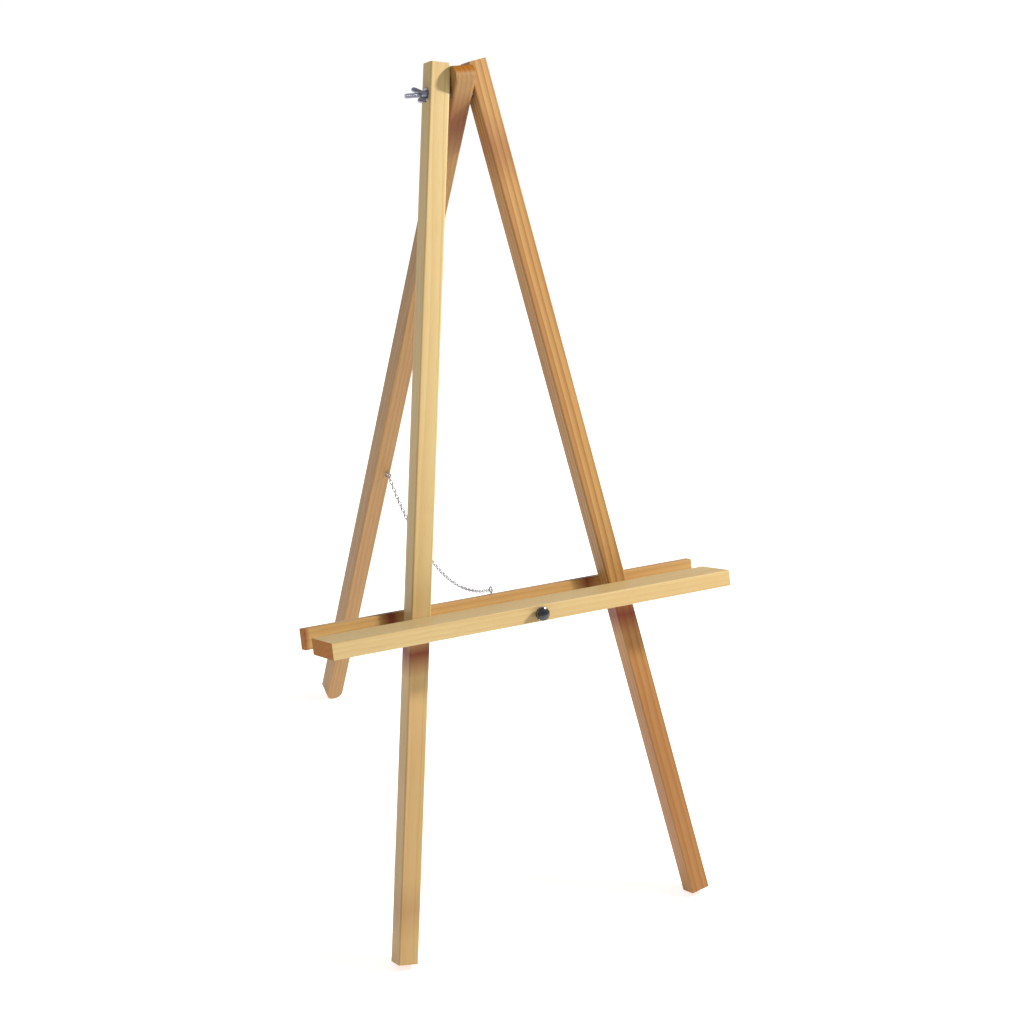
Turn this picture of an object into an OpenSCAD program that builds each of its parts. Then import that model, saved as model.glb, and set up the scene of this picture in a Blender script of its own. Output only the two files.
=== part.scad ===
// Folding three-legged artist easel: two splayed front legs, a rear leg on a wing-nut bolt,
// a canvas tray clamped round the front legs, and a slack safety chain.
// Everything is first laid out about the pivot bolt's centre (X along the bolt, -Y to the
// artist, +Z up) and then lifted so that the three feet stand on Z = 0.

/* [Legs] */
// Side of the square timber of all three legs
leg_side = 36; // [34:1:38]
// Radius of the eased long edges of the timber
edge_r = 3; // [1:0.5:5]
// Length of a front leg below the bolt
front_leg_below = 1465; // [1400:5:1500]
// Length of a front leg above the bolt
front_leg_above = 51; // [46:1:60]
// Distance of the rear leg's round top centre above the bolt
rear_leg_above = 32; // [28:1:40]

/* [Stance] */
// Backward lean of the plane of the front legs, in degrees
lean = 16; // [14:0.5:18]
// Splay of each front leg from the middle, in degrees
splay = 9.65; // [9:0.05:10]
// Distance of a front leg's centre line from the middle at the bolt
leg_offset = 41.5; // [41:0.5:44]
// Backward slope of the open rear leg, in degrees
rear_slope = 25.15; // [24:0.05:27]

/* [Pivot] */
// Diameter of the pivot bolt
bolt_d = 8; // [6:1:8]
// Length of the bolt's bare end beyond the left washer
bolt_tail = 38; // [30:1:42]
// Distance of the two outer washer seats from the middle
seat_x = 57.5; // [57:0.25:58]
// Diameter of the washers
washer_d = 23; // [20:1:24]
// Thickness of the washers
washer_t = 1.6; // [1:0.1:2]
// Diameter of the spacer bushes beside the rear leg
spacer_d = 18; // [14:1:20]
// Distance of the inner bush seats from the middle
inner_seat_x = 25.5; // [25:0.25:26.5]
// Turn of the wing nut's wings about the bolt, in degrees
wing_turn = 62; // [0:1:180]

/* [Tray] */
// Length of the tray
tray_w = 745; // [700:5:780]
// Sideways shift of the clamped tray from the legs' middle, negative to the left
tray_shift = -13; // [-20:1:20]
// Distance of the tray's underside below the bolt, down the front plane
tray_drop = 893; // [870:1:905]
// Depth of the tray board in front of the legs
board_depth = 94; // [80:1:110]
// Thickness of the tray board
board_t = 28; // [24:1:32]
// Radius of the board's and rail's eased edges
ease = 2; // [1:0.5:4]
// Thickness of the rear rail
rail_t = 20; // [16:1:22]
// Height of the rear rail
rail_h = 36; // [34:1:40]
// Height of the rail's underside above the board's underside
rail_low = 3; // [0:1:5]

/* [Knob] */
// Diameter of the clamp knob
knob_d = 23; // [20:1:26]
// Length of the clamp knob
knob_l = 16; // [14:1:18]
// Diameter of the draw bolt that the knob tightens
draw_d = 6; // [5:1:6]

/* [Chain] */
// Diameter of the link wire
link_wire = 1.6; // [1.4:0.1:1.8]
// Curve radius at the chain's lowest point, smaller for a slacker chain
chain_curve = 520; // [440:5:700]
// Distance of the rear leg's screw eye below the bolt
leg_eye_drop = 866; // [860:1:875]
// Sideways place of the rear leg's screw eye
leg_eye_x = 10; // [8:0.5:11]
// Sideways place of the rail's screw eye from the tray's middle
rail_eye_x = -22; // [-30:1:-16]

/* [Hidden] */
$fn = 64;

LEFT = -1;
RIGHT = 1;

pine = "burlywood";
zinc = "lightsteelblue";
steel = "silver";

run_gap = 0.05;    // radial clearance round a bolt that something turns on
screw_gap = 0.02;  // clearance round a driven screw
clamp_gap = 0.05;  // clearance between the front legs and the board or the rail
swing_gap = 0.6;   // clearance beside the rear leg where it swings
face_gap = 0.1;    // clearance at each end of a spacer bush
cut = 400;         // reach of cutting solids

bolt_r = bolt_d / 2;
half = leg_side / 2;

// Lowest and foremost reach of a front leg's square foot about its centre
function foot_reach(a, b) =
    (half - edge_r) * (a + b) + edge_r * sqrt(a * a + b * b);

foot_low = foot_reach(sin(splay) * cos(lean), sin(lean));
foot_fore = foot_reach(sin(splay) * sin(lean), cos(lean));

bolt_z = front_leg_below * cos(splay) * cos(lean) + foot_low;
// The rear foot is rounded across its width, so its front edge touches first
rear_leg_below = (bolt_z - half * sin(rear_slope)) / cos(rear_slope) - half;
front_y = -front_leg_below * cos(splay) * sin(lean) - foot_fore;
rear_y = (rear_leg_below + half) * sin(rear_slope) + half * cos(rear_slope);
bolt_y = -(front_y + rear_y) / 2;

// Points of the front plane's frame (x, back, up) and of the rear leg's frame
function on_front(p) = [p.x, p.y * cos(lean) + p.z * sin(lean),
    p.z * cos(lean) - p.y * sin(lean)];
function on_rear(p) = [p.x, p.y * cos(rear_slope) - p.z * sin(rear_slope),
    p.y * sin(rear_slope) + p.z * cos(rear_slope)];

module placed() translate([-tray_shift, bolt_y, bolt_z]) children();
module front_plane() rotate([-lean, 0, 0]) children();
module rear_frame() rotate([rear_slope, 0, 0]) children();
module leg_frame(side)
    front_plane() translate([side * leg_offset, 0, 0]) rotate([0, -side * splay, 0]) children();

// A bar along X, from x = x0 for a length l
module x_bar(x0, l, r) translate([x0, 0, 0]) rotate([0, 90, 0]) cylinder(h = l, r = r);

// Square with four round corners
module eased_square(side, r) {
    square([side - 2 * r, side], center = true);
    square([side, side - 2 * r], center = true);
    for (x = [-1, 1], y = [-1, 1])
        translate([x, y] * (side / 2 - r)) circle(r);
}

/* ---- Legs ---- */

module leg_timber()
    translate([0, 0, -front_leg_below])
        linear_extrude(front_leg_below + front_leg_above) eased_square(leg_side, edge_r);

// Drilled for the bolt, seated square to it inside and out, and bevelled past the rear leg
module front_leg(side) color(pine) placed() difference() {
    leg_frame(side) leg_timber();
    x_bar(-cut / 2, cut, bolt_r + run_gap);
    x_bar(side > 0 ? seat_x : -seat_x - cut, cut, washer_d / 2 + 1);
    x_bar(side > 0 ? 0 : -inner_seat_x, inner_seat_x, spacer_d / 2 + 1);
    translate([-half - swing_gap, -cut / 2, 0]) cube([leg_side + 2 * swing_gap, cut, cut]);
}

module rear_leg() color(pine) placed() difference() {
    rear_frame() intersection() {
        translate([0, 0, -cut - rear_leg_below])
            linear_extrude(rear_leg_below + 2 * cut) eased_square(leg_side, edge_r);
        union() {
            translate([-half, -half, -rear_leg_below])
                cube([leg_side, leg_side, rear_leg_below + rear_leg_above]);
            translate([0, 0, rear_leg_above]) x_bar(-half, leg_side, half);
            translate([0, half, -rear_leg_below]) rotate([90, 0, 0])
                cylinder(h = leg_side, r = half);
        }
    }
    x_bar(-cut / 2, cut, bolt_r + run_gap);
    rear_frame() at_leg_eye() eye_shank(screw_gap);
}

/* ---- Pivot hardware ---- */

head_t = 4.6;
head_r = 9.5;

module pivot_bolt() color(zinc) placed() {
    x_bar(-seat_x - washer_t - bolt_tail, 2 * (seat_x + washer_t) + bolt_tail, bolt_r);
    translate([seat_x + washer_t, 0, 0]) rotate([0, 90, 0]) domed_head(head_r, head_t);
}

// Low dome: the cap of a sphere, flat side on Z = 0
module domed_head(r, h) {
    ball_r = (r * r + h * h) / (2 * h);
    intersection() {
        translate([0, 0, h - ball_r]) sphere(ball_r);
        cylinder(h = h, r = r);
    }
}

module washer(r_out, r_in, t) difference() {
    cylinder(h = t, r = r_out);
    translate([0, 0, -t]) cylinder(h = 3 * t, r = r_in);
}

module bolt_washer() color(zinc) placed()
    translate([seat_x, 0, 0]) rotate([0, 90, 0]) washer(washer_d / 2, bolt_r + run_gap, washer_t);

module wing_washer() color(zinc) placed()
    translate([-seat_x, 0, 0]) rotate([0, -90, 0]) washer(washer_d / 2, bolt_r + run_gap, washer_t);

hub_r = 7.5;
hub_top_r = 6;
hub_l = 11;
wing_t = 3;
wing_tip_r = 5.5;
wing_tip = [14.5, 15.5];

module wing_nut() color(zinc) placed()
    translate([-seat_x - washer_t, 0, 0]) rotate([0, -90, 0]) rotate([0, 0, wing_turn])
        difference() {
            union() {
                cylinder(h = hub_l, r1 = hub_r, r2 = hub_top_r);
                for (turn = [0, 180]) rotate([90, 0, turn])
                    translate([0, 0, -wing_t / 2]) linear_extrude(wing_t) wing_outline();
            }
            translate([0, 0, -1]) cylinder(h = cut, r = bolt_r + run_gap);
        }

// One wing beside the axis, leaning outwards and up
module wing_outline() {
    polygon([[bolt_r + 1, 1], [hub_r, 1], wing_tip + [wing_tip_r * 0.8, -wing_tip_r * 0.6],
        wing_tip + [-wing_tip_r * 0.7, wing_tip_r * 0.7], [bolt_r + 1, hub_l - 1]]);
    translate(wing_tip) circle(wing_tip_r);
}

// Plain tube between the rear leg and a front leg's inner seat
module spacer(side) color(zinc) placed() difference() {
    x_bar(side > 0 ? half + face_gap : face_gap - inner_seat_x,
        inner_seat_x - half - 2 * face_gap, spacer_d / 2);
    x_bar(-cut / 2, cut, bolt_r + run_gap);
}

/* ---- Tray: board and rail, in the front plane's frame ---- */

board_front = half + clamp_gap + board_depth;
rail_back = half + clamp_gap + rail_t;
draw_up = -tray_drop + board_t / 2;

// Rectangle with four eased corners, its lowest corner at the start
module eased_bar(w, h) {
    translate([ease, 0]) square([w - 2 * ease, h]);
    translate([0, ease]) square([w, h - 2 * ease]);
    for (x = [ease, w - ease], y = [ease, h - ease]) translate([x, y]) circle(ease);
}

// A bar along the tray, its section placed by its front face and its underside
module tray_bar(front, low, w, h)
    front_plane() translate([tray_shift - tray_w / 2, -front, low - tray_drop])
        rotate([90, 0, 90]) linear_extrude(tray_w) eased_bar(w, h);

module draw_hole() on_draw_axis(cut / 2) cylinder(h = cut, r = draw_d / 2 + run_gap);

module tray_board() color(pine) placed() difference() {
    tray_bar(board_front, 0, board_depth, board_t);
    draw_hole();
}

module rear_rail() color(pine) placed() difference() {
    tray_bar(-half - clamp_gap, rail_low, rail_t, rail_h);
    draw_hole();
    front_plane() at_rail_eye() eye_shank(screw_gap);
}

/* ---- Clamp knob and its draw bolt ---- */

draw_head_r = 5.5;
draw_head_t = 4;
small_washer_r = 8;
small_washer_t = 1.2;
knob_bore = 11;
knob_stem = 4;

module on_draw_axis(y)
    front_plane() translate([tray_shift, y, draw_up]) rotate([90, 0, 0]) children();

// Round-headed bolt from the rail's back to inside the knob
module draw_bolt() color(steel) placed() {
    on_draw_axis(rail_back + small_washer_t)
        cylinder(h = rail_back + board_front + 2 * small_washer_t + knob_bore - 1, r = draw_d / 2);
    on_draw_axis(rail_back + small_washer_t)
        mirror([0, 0, 1]) domed_head(draw_head_r, draw_head_t);
}

module draw_washer() color(steel) placed()
    on_draw_axis(rail_back + small_washer_t)
        washer(small_washer_r, draw_d / 2 + run_gap, small_washer_t);

module knob_washer() color(steel) placed()
    on_draw_axis(-board_front) washer(small_washer_r, draw_d / 2 + run_gap, small_washer_t);

module clamp_knob() color("dimgray") placed()
    on_draw_axis(-board_front - small_washer_t) difference() {
        union() {
            cylinder(h = knob_stem, r1 = knob_d / 4, r2 = knob_d / 3.2);
            translate([0, 0, knob_stem - 1]) cylinder(h = 2, r1 = knob_d / 2.6, r2 = knob_d / 2);
            translate([0, 0, knob_stem + 1])
                cylinder(h = knob_l - knob_stem - 4, r = knob_d / 2);
            translate([0, 0, knob_l - 3]) domed_head(knob_d / 2, 3);
        }
        for (turn = [0 : 30 : 330]) rotate([0, 0, turn])
            translate([knob_d / 2 + 0.6, 0, -1]) cylinder(h = knob_l + 2, r = 1.5);
        translate([0, 0, -1]) cylinder(h = knob_bore + 1, r = draw_d / 2 + run_gap);
    }

/* ---- Screw eyes ---- */

eye_r = 5;
eye_wire_r = 1.3;
eye_neck = 3;
eye_shank_l = 16;
eye_up = eye_neck + eye_r;  // height of the ring's centre above the wood

module eye_shank(gap = 0)
    translate([0, 0, -eye_shank_l]) cylinder(h = eye_shank_l + eye_neck, r = eye_wire_r + gap);

// Shank down into the wood, ring standing in the plane of the chain
module screw_eye() {
    eye_shank();
    translate([0, 0, eye_up]) rotate([0, 90, 0])
        rotate_extrude() translate([eye_r, 0]) circle(eye_wire_r, $fn = 32);
}

rail_eye_at = [tray_shift + rail_eye_x, rail_back - rail_t / 2, rail_low + rail_h - tray_drop];
leg_eye_at = [leg_eye_x, -half, -leg_eye_drop];

module at_rail_eye() translate(rail_eye_at) children();
module at_leg_eye() translate(leg_eye_at) rotate([90, 0, 0]) children();

// The leg's eye is turned a quarter, so that its ring's wire lies across the last link
module rail_eye() color(zinc) placed() front_plane() at_rail_eye() screw_eye();
module leg_eye() color(zinc) placed() rear_frame() at_leg_eye() rotate([0, 0, 90]) screw_eye();

/* ---- Chain: a catenary from the rail's ring centre to the leg's ring wire ---- */

function cosh(x) = (exp(x) + exp(-x)) / 2;
function sinh(x) = (exp(x) - exp(-x)) / 2;
function asinh(x) = ln(x + sqrt(x * x + 1));

chain_start = on_front(rail_eye_at + [0, 0, eye_up]);
chain_end = on_rear(leg_eye_at + [0, -eye_up - eye_r, 0]);
way = chain_end - chain_start;
span = sqrt(way.x * way.x + way.y * way.y);
yaw = atan2(way.x, way.y);
low_at = span / 2 - chain_curve * asinh(way.z / (2 * chain_curve * sinh(span / 2 / chain_curve)));
start_arc = chain_curve * sinh(low_at / chain_curve);
chain_l = start_arc + chain_curve * sinh((span - low_at) / chain_curve);

links = 60;
stretch_from = [0, 2, 16, 32, 46, links];
open_from = 27;  // the closed loop is opened here: the links from this one
open_to = 31;    // to this one are left out, so that its two sides pass clear
link_r = link_wire / 2;
link_gap = 0.15;
link_bend = 2.5;  // centre-line radius of a link's round ends
ring_hook = eye_r - eye_wire_r - link_r - link_gap;
wire_hook = eye_wire_r + link_r + link_gap;
overlap = link_wire + link_gap;
pitch = (chain_l - ring_hook + wire_hook - overlap) / links;
// Rounded, so that a link's rods and rings meet exactly
link_straight = round((pitch + overlap - 2 * link_bend) * 50) / 50;

// Level distance, place and slope at a length along the chain
function level(s) = low_at + chain_curve * asinh((s - start_arc) / chain_curve);
function chain_point(s) = chain_start + [level(s) * sin(yaw), level(s) * cos(yaw),
    chain_curve * (cosh((level(s) - low_at) / chain_curve) - cosh(low_at / chain_curve))];
function chain_slope(s) = atan((s - start_arc) / chain_curve);

// An oval link along Y: two rods and two half rings
module link() for (end = [0, 180]) rotate([0, 0, end]) {
    translate([link_bend, -link_straight / 2, 0]) rotate([-90, 0, 0])
        cylinder(h = link_straight, r = link_r, $fn = 32);
    translate([0, link_straight / 2, 0])
        rotate_extrude(angle = 180) translate([link_bend, 0]) circle(link_r, $fn = 32);
}

module chain_part(n) color(steel) placed()
    for (i = [stretch_from[n] : stretch_from[n + 1] - 1]) if (i < open_from || i > open_to) {
        s = ring_hook + overlap / 2 + (i + 0.5) * pitch;
        translate(chain_point(s)) rotate([0, 0, -yaw]) rotate([chain_slope(s), 0, 0])
            rotate([0, i % 2 == 0 ? 0 : 90, 0]) link();
    }

front_leg(LEFT);  // front_leg_left
front_leg(RIGHT);  // front_leg_right
rear_leg();
pivot_bolt();
bolt_washer();
wing_washer();
wing_nut();
spacer(LEFT);  // spacer_left
spacer(RIGHT);  // spacer_right
tray_board();
rear_rail();
draw_bolt();
draw_washer();
knob_washer();
clamp_knob();
rail_eye();
leg_eye();
chain_part(0);  // chain_1
chain_part(1);  // chain_2
chain_part(2);  // chain_3
chain_part(3);  // chain_4
chain_part(4);  // chain_5
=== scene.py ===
"""A folding artist easel in pine, with zinc hardware and a slack chain."""

import logging
import math
from dataclasses import dataclass, field
from enum import Enum
from typing import Any, Callable

import bmesh
import bpy
from mathutils import Euler, Matrix, Vector


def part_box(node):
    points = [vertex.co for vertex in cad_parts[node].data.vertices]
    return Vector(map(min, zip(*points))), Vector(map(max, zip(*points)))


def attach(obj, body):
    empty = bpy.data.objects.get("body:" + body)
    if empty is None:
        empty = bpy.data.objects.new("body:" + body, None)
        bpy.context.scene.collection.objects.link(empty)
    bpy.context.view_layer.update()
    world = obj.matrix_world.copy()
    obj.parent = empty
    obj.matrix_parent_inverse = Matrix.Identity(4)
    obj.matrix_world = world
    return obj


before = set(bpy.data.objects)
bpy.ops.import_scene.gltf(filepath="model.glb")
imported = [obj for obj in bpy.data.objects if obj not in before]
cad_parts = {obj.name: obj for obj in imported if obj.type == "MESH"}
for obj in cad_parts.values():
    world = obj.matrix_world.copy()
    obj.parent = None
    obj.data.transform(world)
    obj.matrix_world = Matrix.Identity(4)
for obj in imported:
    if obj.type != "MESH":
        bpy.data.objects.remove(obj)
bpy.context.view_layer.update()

log = logging.getLogger("easel")

Colour = tuple[float, float, float]


def linear(red: int, green: int, blue: int) -> Colour:
    """Turn an ordinary 8-bit colour into the shader's linear one.

    Args:
        red: Red, 0 to 255.
        green: Green, 0 to 255.
        blue: Blue, 0 to 255.

    Returns:
        The linear colour.
    """
    def one(value: int) -> float:
        """Turn one channel linear."""
        v = value / 255
        return v / 12.92 if v <= 0.04045 else ((v + 0.055) / 1.055) ** 2.4

    return one(red), one(green), one(blue)


class Tone(Enum):
    """The shades of pine on the easel."""

    PALE = "pale"
    GOLDEN = "golden"
    AMBER = "amber"
    HONEY = "honey"


# For each shade: early wood, late wood and fibre shadow
PINE_COLOURS: dict[Tone, tuple[Colour, Colour, Colour]] = {
    Tone.PALE: (linear(200, 175, 122), linear(186, 149, 92), linear(150, 104, 52)),
    Tone.GOLDEN: (linear(186, 148, 90), linear(162, 114, 58), linear(120, 74, 30)),
    Tone.AMBER: (linear(180, 138, 78), linear(140, 86, 34), linear(98, 52, 18)),
    Tone.HONEY: (linear(162, 124, 74), linear(142, 98, 52), linear(102, 62, 24)),
}

# The cut ends are darker than the sides, as end grain takes more oil; the colour is also set
# darker as painted shade, for ends that face away from the lamp
END_GRAIN_AND_SHADE: tuple[Colour, Colour] = (linear(166, 106, 38), linear(130, 74, 24))

# Painted shade: the dark colour of patches that stand for cast shadows, for shade in creases and
# for shade at a rail end
SHADE_PATCH_COLOUR: Colour = linear(112, 40, 8)

# Heights between which the legs grow darker, in metres
LOW_REACH: tuple[float, float] = (0.35, 0.62)


@dataclass(frozen=True)
class ShadePatch:
    """A patch of painted shade across a bar, fixed at one place along an axis of the easel."""

    axis: str
    middle: float
    reach: float
    depth: float


class NodeSheet:
    """A small helper that lays shader nodes in one material."""

    def __init__(self, name: str) -> None:
        """Make the material and keep its shader.

        Args:
            name: The material's name.
        """
        self.material = bpy.data.materials.new(name)
        self.material.use_nodes = True
        self.nodes = self.material.node_tree.nodes
        self.links = self.material.node_tree.links
        self.shader = self.nodes["Principled BSDF"]
        self.coords = self.nodes.new("ShaderNodeTexCoord").outputs

    def add(self, kind: str, **settings: Any) -> bpy.types.Node:
        """Add a node and set its properties.

        Args:
            kind: The node type without its ShaderNode start.
            **settings: The properties to set.

        Returns:
            The new node.
        """
        node = self.nodes.new("ShaderNode" + kind)
        for key, value in settings.items():
            setattr(node, key, value)
        return node

    def wire(self, out: bpy.types.NodeSocket, into: bpy.types.NodeSocket) -> None:
        """Join an output to an input."""
        self.links.new(out, into)

    def mapped(self, source: bpy.types.NodeSocket, scale: Vector) -> bpy.types.NodeSocket:
        """Scale a vector.

        Args:
            source: The vector.
            scale: The factor along each axis.

        Returns:
            The scaled vector.
        """
        node = self.add("Mapping")
        node.inputs["Scale"].default_value = scale
        self.wire(source, node.inputs["Vector"])
        return node.outputs["Vector"]

    def noise(self, source: bpy.types.NodeSocket, scale: float, detail: float,
              rough: float = 0.5) -> bpy.types.NodeSocket:
        """Lay a noise over a vector.

        Args:
            source: The vector.
            scale: The noise's scale.
            detail: Its octaves.
            rough: Its roughness.

        Returns:
            The noise's factor.
        """
        node = self.add("TexNoise")
        node.inputs["Scale"].default_value = scale
        node.inputs["Detail"].default_value = detail
        node.inputs["Roughness"].default_value = rough
        self.wire(source, node.inputs["Vector"])
        return node.outputs["Fac"]

    def spread(self, factor: bpy.types.NodeSocket, low: float, high: float,
               to_low: float = 0.0, to_high: float = 1.0) -> bpy.types.NodeSocket:
        """Map a factor from one range to another, clamped.

        Args:
            factor: The factor.
            low: The value that becomes to_low.
            high: The value that becomes to_high.
            to_low: The result at the low end.
            to_high: The result at the high end.

        Returns:
            The mapped factor.
        """
        node = self.add("MapRange")
        for key, value in (("From Min", low), ("From Max", high),
                           ("To Min", to_low), ("To Max", to_high)):
            node.inputs[key].default_value = value
        self.wire(factor, node.inputs["Value"])
        return node.outputs["Result"]

    def mix(self, factor: bpy.types.NodeSocket, first: Any, second: Any) -> bpy.types.NodeSocket:
        """Mix two colours, each a value or an output.

        Args:
            factor: The share of the second.
            first: The first colour.
            second: The second colour.

        Returns:
            The mixed colour.
        """
        node = self.add("Mix", data_type="RGBA")
        self.wire(factor, node.inputs[0])
        for slot, value in ((node.inputs[6], first), (node.inputs[7], second)):
            if isinstance(value, tuple):
                slot.default_value = (*value, 1.0)
            else:
                self.wire(value, slot)
        return node.outputs[2]

    def math(self, operation: str, first: Any, second: Any) -> bpy.types.NodeSocket:
        """Do one sum on two values or outputs.

        Args:
            operation: The sum's name, as the math node has it.
            first: The first value or output.
            second: The second one.

        Returns:
            The result.
        """
        node = self.add("Math", operation=operation)
        for slot, value in zip(node.inputs, (first, second)):
            if isinstance(value, (int, float)):
                slot.default_value = value
            else:
                self.wire(value, slot)
        return node.outputs[0]

    def bump(self, height: bpy.types.NodeSocket, strength: float, distance: float) -> None:
        """Dent the surface by a height.

        Args:
            height: The height.
            strength: How strongly it shows.
            distance: The depth in metres.
        """
        node = self.add("Bump")
        node.inputs["Strength"].default_value = strength
        node.inputs["Distance"].default_value = distance
        self.wire(height, node.inputs["Height"])
        self.wire(node.outputs["Normal"], self.shader.inputs["Normal"])


@dataclass(frozen=True)
class PineFinish:
    """Oiled pine whose growth rings run along one bar."""

    name: str
    tone: Tone
    along: Vector
    through: Vector
    heart: tuple[float, float] = (0.05, 0.035)
    ring: float = 0.0092
    slant: float = 0.012
    wander: float = 0.034
    distortion: float = 3.4
    figure: float = 0.55
    low_depth: float = 0.0
    shade_patches: tuple[ShadePatch, ...] = ()

    def paint_shade(self, sheet: NodeSheet, wood: bpy.types.NodeSocket,
               broken: bpy.types.NodeSocket) -> bpy.types.NodeSocket:
        """Darken the wood low down and paint in patches of shade.

        Args:
            sheet: The material's sheet.
            wood: The colour so far.
            broken: A noise that breaks the patches' edges.

        Returns:
            The darkened colour.
        """
        parts = sheet.add("SeparateXYZ")
        sheet.wire(sheet.coords["Object"], parts.inputs[0])
        deep = PINE_COLOURS[Tone.AMBER][1]
        low = sheet.spread(parts.outputs["Z"], *LOW_REACH, self.low_depth, 0.0)
        wood = sheet.mix(low, wood, deep)
        # Each patch is painted shade, a cast shadow or shade in a crease, darkest in its middle
        # with ragged edges
        for shade_patch in self.shade_patches:
            away = sheet.math("ABSOLUTE", sheet.math(
                "SUBTRACT", parts.outputs[shade_patch.axis], shade_patch.middle), 0.0)
            ragged = sheet.math("ADD", away, sheet.math("MULTIPLY", broken, shade_patch.reach))
            patch = sheet.spread(ragged, shade_patch.reach * 0.6, shade_patch.reach * 1.7, shade_patch.depth, 0.0)
            wood = sheet.mix(patch, wood, SHADE_PATCH_COLOUR)
        return wood

    def frame_turn(self) -> Euler:
        """Return the turn that brings the bar's length to Z.

        Returns:
            The Euler turn for a mapping node.
        """
        z = self.along.normalized()
        x = Vector((1, 0, 0)) if abs(z.x) < 0.9 else Vector((0, 1, 0))
        x = (x - z * x.dot(z)).normalized()
        return Matrix((x, z.cross(x), z)).to_euler()

    def build(self) -> bpy.types.Material:
        """Build the material.

        Returns:
            The pine.
        """
        early, late, shadow = PINE_COLOURS[self.tone]
        sheet = NodeSheet(self.name)
        turn = self.frame_turn()
        start = turn.to_matrix() @ self.through
        lay = sheet.add("Mapping", vector_type="POINT")
        lay.inputs["Rotation"].default_value = turn
        lay.inputs["Location"].default_value = (
            self.heart[0] - start.x, self.heart[1] - start.y, -start.z)
        sheet.wire(sheet.coords["Object"], lay.inputs["Vector"])
        bar = lay.outputs["Vector"]

        wander = sheet.noise(sheet.mapped(bar, Vector((9, 9, 1.3))), 1.0, 2.0)
        parts = sheet.add("SeparateXYZ")
        sheet.wire(bar, parts.inputs[0])
        lean = sheet.math("MULTIPLY", parts.outputs["Z"], self.slant)
        shift = sheet.math("ADD", lean, sheet.math("MULTIPLY", wander, self.wander))
        rebuilt = sheet.add("CombineXYZ")
        sheet.wire(sheet.math("ADD", parts.outputs["X"], shift), rebuilt.inputs["X"])
        sheet.wire(parts.outputs["Y"], rebuilt.inputs["Y"])

        rings = sheet.add("TexWave", wave_type="RINGS", rings_direction="Z",
                          wave_profile="SAW")
        rings.inputs["Scale"].default_value = math.tau / (20 * self.ring)
        rings.inputs["Distortion"].default_value = self.distortion
        rings.inputs["Detail"].default_value = 2.0
        rings.inputs["Detail Scale"].default_value = 1.2
        sheet.wire(rebuilt.outputs[0], rings.inputs["Vector"])
        grain = sheet.spread(rings.outputs["Fac"], 0.30, 1.0, 0.0, self.figure)
        fibre = sheet.noise(sheet.mapped(bar, Vector((1500, 1500, 22))), 1.0, 4.0, 0.6)
        broad = sheet.noise(sheet.mapped(bar, Vector((16, 16, 2.2))), 1.0, 2.0)

        wood = sheet.mix(grain, early, late)
        streak = sheet.math("MULTIPLY", sheet.spread(fibre, 0.52, 0.78), 0.42)
        wood = sheet.mix(streak, wood, shadow)
        cloud = sheet.math("MULTIPLY", sheet.spread(broad, 0.45, 0.75), 0.40)
        wood = sheet.mix(cloud, wood, late)
        wood = self.paint_shade(sheet, wood, broad)

        facing = sheet.add("VectorMath", operation="DOT_PRODUCT")
        facing.inputs[1].default_value = self.along.normalized()
        sheet.wire(sheet.coords["Normal"], facing.inputs[0])
        cut_end = sheet.spread(sheet.math("ABSOLUTE", facing.outputs["Value"], 0.0), 0.75, 0.95)
        # Cut ends get end grain's darker colour, which also paints in shade
        end_grain_and_shade = sheet.mix(grain, *END_GRAIN_AND_SHADE)
        wood = sheet.mix(cut_end, wood, end_grain_and_shade)
        sheet.wire(wood, sheet.shader.inputs["Base Color"])

        sheet.wire(sheet.spread(fibre, 0.3, 0.8, 0.40, 0.62), sheet.shader.inputs["Roughness"])
        sheet.wire(sheet.spread(cut_end, 0.0, 1.0, 0.42, 0.04),
                   sheet.shader.inputs["Specular IOR Level"])
        height = sheet.math("ADD", sheet.math("MULTIPLY", fibre, 0.6),
                            sheet.math("MULTIPLY", grain, -0.4))
        sheet.bump(height, 0.35, 0.0004)
        return sheet.material


@dataclass(frozen=True)
class MetalFinish:
    """Plated or bare steel with fine scuffs, and a thread on a bolt."""

    name: str
    colour: Colour
    dull: Colour
    smooth: tuple[float, float] = (0.24, 0.46)
    thread_beyond: float | None = None
    thread_pitch: float = 0.00125

    def build(self) -> bpy.types.Material:
        """Build the material.

        Returns:
            The metal.
        """
        sheet = NodeSheet(self.name)
        place = sheet.coords["Object"]
        cloud = sheet.noise(place, 260.0, 4.0)
        scuff = sheet.noise(sheet.mapped(place, Vector((900, 2600, 900))), 1.0, 3.0, 0.7)
        sheet.wire(sheet.mix(sheet.spread(cloud, 0.35, 0.7), self.colour, self.dull),
                   sheet.shader.inputs["Base Color"])
        sheet.shader.inputs["Metallic"].default_value = 1.0
        sheet.wire(sheet.spread(scuff, 0.3, 0.75, *self.smooth),
                   sheet.shader.inputs["Roughness"])
        height = sheet.math("MULTIPLY", scuff, 0.15)
        if self.thread_beyond is not None:
            parts = sheet.add("SeparateXYZ")
            sheet.wire(place, parts.inputs[0])
            turns = sheet.math("SINE", sheet.math(
                "MULTIPLY", parts.outputs["X"], math.tau / self.thread_pitch), 0.0)
            cut = sheet.math("LESS_THAN", parts.outputs["X"], self.thread_beyond)
            height = sheet.math("ADD", height, sheet.math("MULTIPLY", turns, cut))
        sheet.bump(height, 0.6, 0.0004)
        return sheet.material


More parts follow.
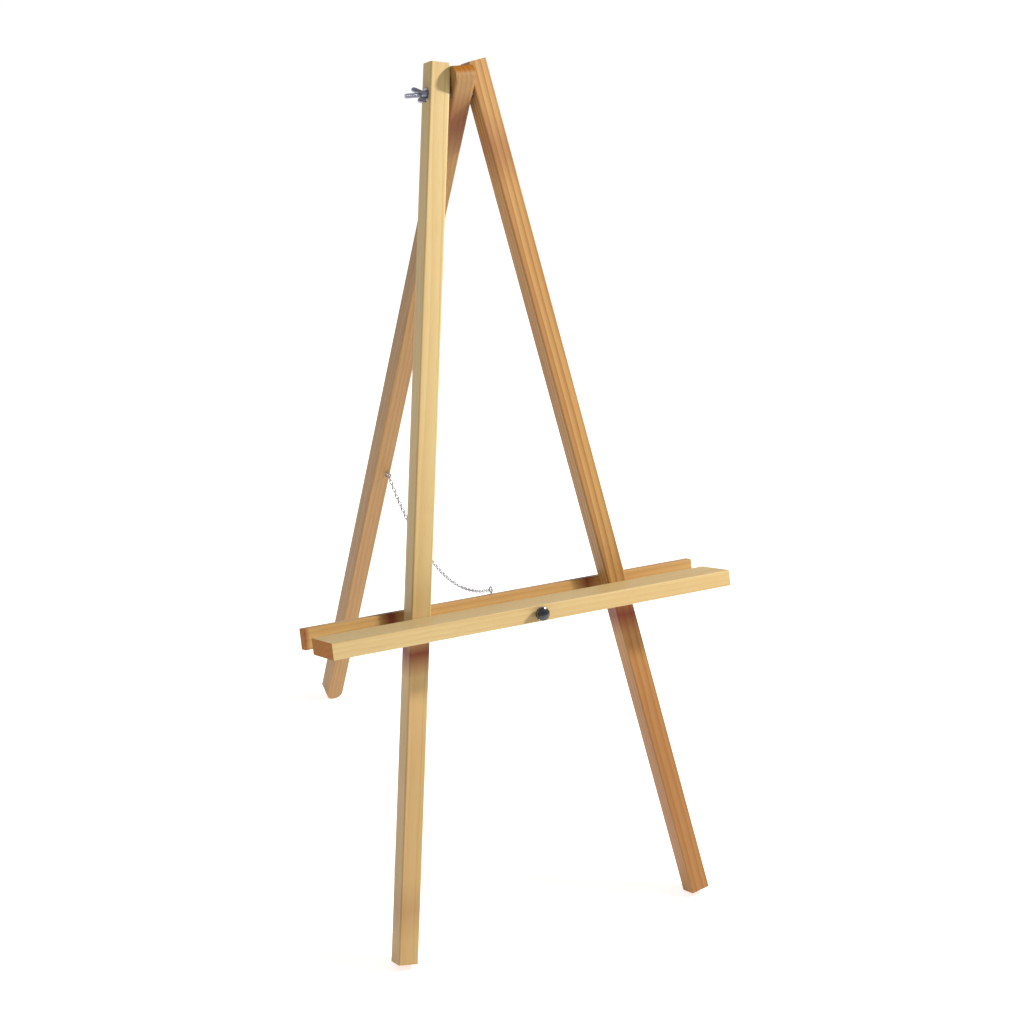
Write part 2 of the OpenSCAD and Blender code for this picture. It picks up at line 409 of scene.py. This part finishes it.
@dataclass(frozen=True)
class KnobFinish:
    """Glossy moulded black plastic."""

    name: str = "knob_black"
    colour: Colour = (0.010, 0.010, 0.013)
    worn: Colour = (0.028, 0.028, 0.032)

    def build(self) -> bpy.types.Material:
        """Build the material.

        Returns:
            The plastic.
        """
        sheet = NodeSheet(self.name)
        place = sheet.coords["Object"]
        wear = sheet.noise(place, 420.0, 4.0)
        fine = sheet.noise(place, 2600.0, 2.0)
        sheet.wire(sheet.mix(sheet.spread(wear, 0.5, 0.8), self.colour, self.worn),
                   sheet.shader.inputs["Base Color"])
        sheet.wire(sheet.spread(wear, 0.3, 0.8, 0.14, 0.32), sheet.shader.inputs["Roughness"])
        sheet.shader.inputs["Coat Weight"].default_value = 0.5
        sheet.shader.inputs["Coat Roughness"].default_value = 0.1
        sheet.bump(fine, 0.12, 0.0002)
        return sheet.material


def dress(node: str, material: bpy.types.Material) -> None:
    """Give a carried-over part its finish.

    Args:
        node: The part's name.
        material: The finish.
    """
    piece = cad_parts[node]
    piece.data.materials.clear()
    piece.data.materials.append(material)
    log.info("%s dressed in %s", node, material.name)


def middle_of(node: str) -> Vector:
    """Return the middle of a part's box."""
    low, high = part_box(node)
    return (low + high) / 2


@dataclass
class Legs:
    """The two splayed front legs and the hinged rear leg."""

    lean: float = 16.0
    splay: float = 9.65
    rear_slope: float = 25.15
    under_tray: float = 0.512
    tray_shadow_reach: float = 0.034

    def front_direction(self, side: int) -> Vector:
        """Return a front leg's direction, upwards.

        Args:
            side: -1 for the left leg, 1 for the right.

        Returns:
            The unit vector.
        """
        lean, splay = math.radians(self.lean), math.radians(self.splay)
        up = Vector((0, math.sin(lean), math.cos(lean)))
        return (up * math.cos(splay) - Vector((side * math.sin(splay), 0, 0))).normalized()

    def dress(self) -> None:
        """Finish the three legs."""
        slope = math.radians(self.rear_slope)
        rear = Vector((0, -math.sin(slope), math.cos(slope)))
        dress("front_leg_left", PineFinish(
            "pine_left_leg", Tone.PALE, self.front_direction(-1),
            middle_of("front_leg_left"), heart=(-0.036, 0.046), slant=0.004, figure=0.45,
            low_depth=0.30, shade_patches=(
                # Painted shadow of the tray on the leg just under it, and a fainter dark band
                # near the foot
                ShadePatch("Z", self.under_tray, self.tray_shadow_reach, 0.95),
                ShadePatch("Z", 0.10, 0.05, 0.25))).build())
        dress("front_leg_right", PineFinish(
            "pine_right_leg", Tone.AMBER, self.front_direction(1),
            middle_of("front_leg_right"), heart=(0.012, 0.040), slant=-0.006, figure=0.75,
            low_depth=0.50, shade_patches=(
                # Painted shadow of the tray on the leg just under it, and painted shade near the
                # pivot
                ShadePatch("Z", self.under_tray, self.tray_shadow_reach, 0.9),
                ShadePatch("Z", 1.30, 0.05, 0.35))).build())
        dress("rear_leg", PineFinish(
            "pine_rear_leg", Tone.HONEY, rear, middle_of("rear_leg"),
            heart=(0.044, 0.030), slant=0.008,
            # Painted shade near the pivot, where the legs meet under the top
            shade_patches=(ShadePatch("Z", 1.34, 0.05, 0.7),)).build())


@dataclass
class Pivot:
    """The bolt through the legs with its nut, washers and bushes."""

    zinc: Colour = (0.42, 0.43, 0.55)
    zinc_dull: Colour = (0.25, 0.26, 0.34)
    parts: tuple[str, ...] = ("bolt_washer", "wing_washer", "wing_nut",
                              "spacer_left", "spacer_right", "rail_eye", "leg_eye")

    def dress(self) -> None:
        """Finish the pivot's metal."""
        plated = MetalFinish("zinc_plate", self.zinc, self.zinc_dull).build()
        for part in self.parts:
            dress(part, plated)
        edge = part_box("wing_washer")[0].x
        dress("pivot_bolt", MetalFinish("zinc_bolt", self.zinc, self.zinc_dull,
                                        thread_beyond=edge).build())


@dataclass
class Tray:
    """The clamped board, its rear rail and the knob's hardware."""

    def dress(self) -> None:
        """Finish the tray."""
        along = Vector((1, 0, 0))
        dress("tray_board", PineFinish(
            "pine_board", Tone.PALE, along, middle_of("tray_board"),
            heart=(0.060, 0.080), slant=0.010, figure=0.35).build())
        dress("rear_rail", PineFinish(
            "pine_rail", Tone.GOLDEN, along, middle_of("rear_rail"),
            heart=(0.040, 0.050), slant=-0.008, figure=0.45,
            # Painted shadows of the front legs on the rail, left of each leg, and painted shade
            # at the rail's left end
            shade_patches=(ShadePatch("X", -0.215, 0.020, 0.95), ShadePatch("X", 0.160, 0.022, 0.95),
                   ShadePatch("X", -0.372, 0.008, 0.8))).build())
        steel = MetalFinish("bare_steel", (0.55, 0.55, 0.57), (0.36, 0.36, 0.38)).build()
        for part in ("draw_bolt", "draw_washer", "knob_washer"):
            dress(part, steel)
        dress("clamp_knob", KnobFinish().build())


@dataclass
class Chain:
    """The slack chain, with the middle links that join its two sides."""

    wire: float = 0.0008
    bend: float = 0.0025
    overlap: float = 0.00175
    missing: int = 5
    end_depth: float = 0.0012
    ring_sides: int = 12
    arc_steps: int = 10
    stretches: tuple[str, ...] = field(
        default=("chain_1", "chain_2", "chain_3", "chain_4", "chain_5"))

    def end_near(self, node: str, pick: Callable[..., float]) -> Vector:
        """Find the end of a stretch that faces the open middle.

        Args:
            node: The stretch.
            pick: max for its rear end, min for its front end.

        Returns:
            The middle of the last millimetre or so there.
        """
        points = [v.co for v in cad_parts[node].data.vertices]
        edge = pick(p.y for p in points)
        near = [p for p in points if abs(p.y - edge) < self.end_depth]
        return sum(near, Vector()) / len(near)

    def centre_line(self, reach: float) -> list[tuple[float, float]]:
        """Return a link's flat oval.

        Args:
            reach: The link's length along its wire's centre.

        Returns:
            Points round the link, long way first.
        """
        straight = reach / 2 - self.bend
        line = []
        for sign in (1, -1):
            for step in range(self.arc_steps + 1):
                turn = math.pi * step / self.arc_steps - math.pi / 2
                line.append((sign * (straight + self.bend * math.cos(turn)),
                             sign * self.bend * math.sin(turn)))
        return line

    def sweep(self, mesh: bmesh.types.BMesh, middle: Vector, ahead: Vector,
              wide: Vector, reach: float) -> None:
        """Sweep one closed link into a mesh.

        Args:
            mesh: The mesh to add to.
            middle: The link's middle.
            ahead: Its long direction.
            wide: Its wide direction.
            reach: Its length along the wire's centre.
        """
        across = ahead.cross(wide)
        line = self.centre_line(reach)
        rings = []
        for index, (long, side) in enumerate(line):
            before, after = line[index - 1], line[(index + 1) % len(line)]
            way = Vector((after[0] - before[0], after[1] - before[1])).normalized()
            outward = ahead * way.y - wide * way.x
            spot = middle + ahead * long + wide * side
            rings.append([mesh.verts.new(
                spot + (outward * math.cos(a) + across * math.sin(a)) * self.wire)
                for a in (math.tau * k / self.ring_sides for k in range(self.ring_sides))])
        for ring, following in zip(rings, rings[1:] + rings[:1]):
            for k in range(self.ring_sides):
                j = (k + 1) % self.ring_sides
                mesh.faces.new((ring[k], ring[j], following[j], following[k]))

    def middle_links(self, material: bpy.types.Material) -> bpy.types.Object:
        """Build the links that close the chain at rest.

        Args:
            material: The chain's metal.

        Returns:
            The links, as one piece.
        """
        first = self.end_near("chain_3", max)
        last = self.end_near("chain_4", min)
        ahead = (last - first).normalized()
        upward = (Vector((0, 0, 1)) - ahead * ahead.z).normalized()
        level = ahead.cross(upward)
        pitch = ((last - first).length + self.overlap) / self.missing
        mesh = bmesh.new()
        for index in range(self.missing):
            middle = first + ahead * ((index + 0.5) * pitch - self.overlap / 2)
            self.sweep(mesh, middle, ahead, upward if index % 2 == 0 else level,
                       pitch + self.overlap)
        bmesh.ops.recalc_face_normals(mesh, faces=mesh.faces)
        data = bpy.data.meshes.new("chain_middle_links")
        mesh.to_mesh(data)
        mesh.free()
        for face in data.polygons:
            face.use_smooth = True
        links = bpy.data.objects.new("chain_middle_links", data)
        bpy.context.scene.collection.objects.link(links)
        data.materials.append(material)
        return links

    def dress(self) -> None:
        """Finish the chain and close its middle."""
        metal = MetalFinish("chain_metal", (0.58, 0.58, 0.60), (0.40, 0.40, 0.43)).build()
        for part in self.stretches:
            dress(part, metal)
        links = self.middle_links(metal)
        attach(links, "chain_rail_lower")
        log.info("%s added", links.name)


@dataclass
class Studio:
    """The pale floor, the lights and the camera."""

    eye: Vector = field(default_factory=lambda: Vector((-1.5176, -3.4084, 1.9881)))
    aim: Vector = field(default_factory=lambda: Vector((-0.0772, -0.5224, 0.7906)))
    roll: float = 0.487
    lens: float = 75.27
    key_distance: float = 4.5
    middle: Vector = field(default_factory=lambda: Vector((0, 0, 0.8)))
    key_from: Vector = field(default_factory=lambda: Vector((0.70, -0.42, 0.575)))

    def floor(self) -> None:
        """Lay the floor."""
        bpy.ops.mesh.primitive_plane_add(size=60, location=(0, 0, 0))
        ground = bpy.context.object
        ground.name = "floor"
        sheet = NodeSheet("pale_floor")
        sheet.shader.inputs["Roughness"].default_value = 0.9
        sheet.shader.inputs["Emission Color"].default_value = (1, 1, 1, 1)
        sheet.shader.inputs["Emission Strength"].default_value = 0.66
        cloud = sheet.noise(sheet.coords["Object"], 1.5, 2.0)
        sheet.wire(sheet.mix(cloud, (0.93, 0.93, 0.93), (0.95, 0.95, 0.95)),
                   sheet.shader.inputs["Base Color"])
        ground.data.materials.append(sheet.material)

    def lamp(self, name: str, place: Vector, size: float, power: float, tint: Colour) -> None:
        """Hang a square lamp that faces the easel.

        Args:
            name: The lamp's name.
            place: Where it hangs.
            size: Its side.
            power: Its watts.
            tint: Its colour.
        """
        data = bpy.data.lights.new(name, "AREA")
        data.size, data.energy, data.color = size, power, tint
        lamp = bpy.data.objects.new(name, data)
        lamp.location = place
        lamp.rotation_euler = (place - self.middle).to_track_quat("Z", "Y").to_euler()
        bpy.context.scene.collection.objects.link(lamp)

    def light(self) -> None:
        """Set the lamps and the pale surroundings."""
        world = bpy.data.worlds.new("studio")
        world.use_nodes = True
        world.node_tree.nodes["Background"].inputs["Color"].default_value = (1, 1, 1, 1)
        world.node_tree.nodes["Background"].inputs["Strength"].default_value = 0.38
        bpy.context.scene.world = world
        bpy.context.scene.view_settings.view_transform = "Standard"
        place = self.middle + self.key_from.normalized() * self.key_distance
        self.lamp("key", place, 0.45, 250, (1, 0.97, 0.91))

    def camera(self) -> None:
        """Place the camera."""
        data = bpy.data.cameras.new("camera")
        data.lens, data.sensor_width = self.lens, 36
        back = (self.eye - self.aim).normalized()
        right = Vector((0, 0, 1)).cross(back).normalized()
        up = back.cross(right)
        roll = math.radians(self.roll)
        across = right * math.cos(roll) + up * math.sin(roll)
        above = up * math.cos(roll) - right * math.sin(roll)
        turned = Matrix((across, above, back)).transposed().to_4x4()
        camera = bpy.data.objects.new("camera", data)
        camera.matrix_world = Matrix.Translation(self.eye) @ turned
        bpy.context.scene.collection.objects.link(camera)
        bpy.context.scene.camera = camera


def main() -> None:
    """Build the easel in order."""
    logging.basicConfig(level=logging.INFO, format="%(name)s: %(message)s")
    studio = Studio()
    studio.camera()
    for part in (Legs(), Pivot(), Tray(), Chain()):
        part.dress()
        log.info("%s done", type(part).__name__)
    studio.floor()
    studio.light()


if __name__ == "__main__":
    main()
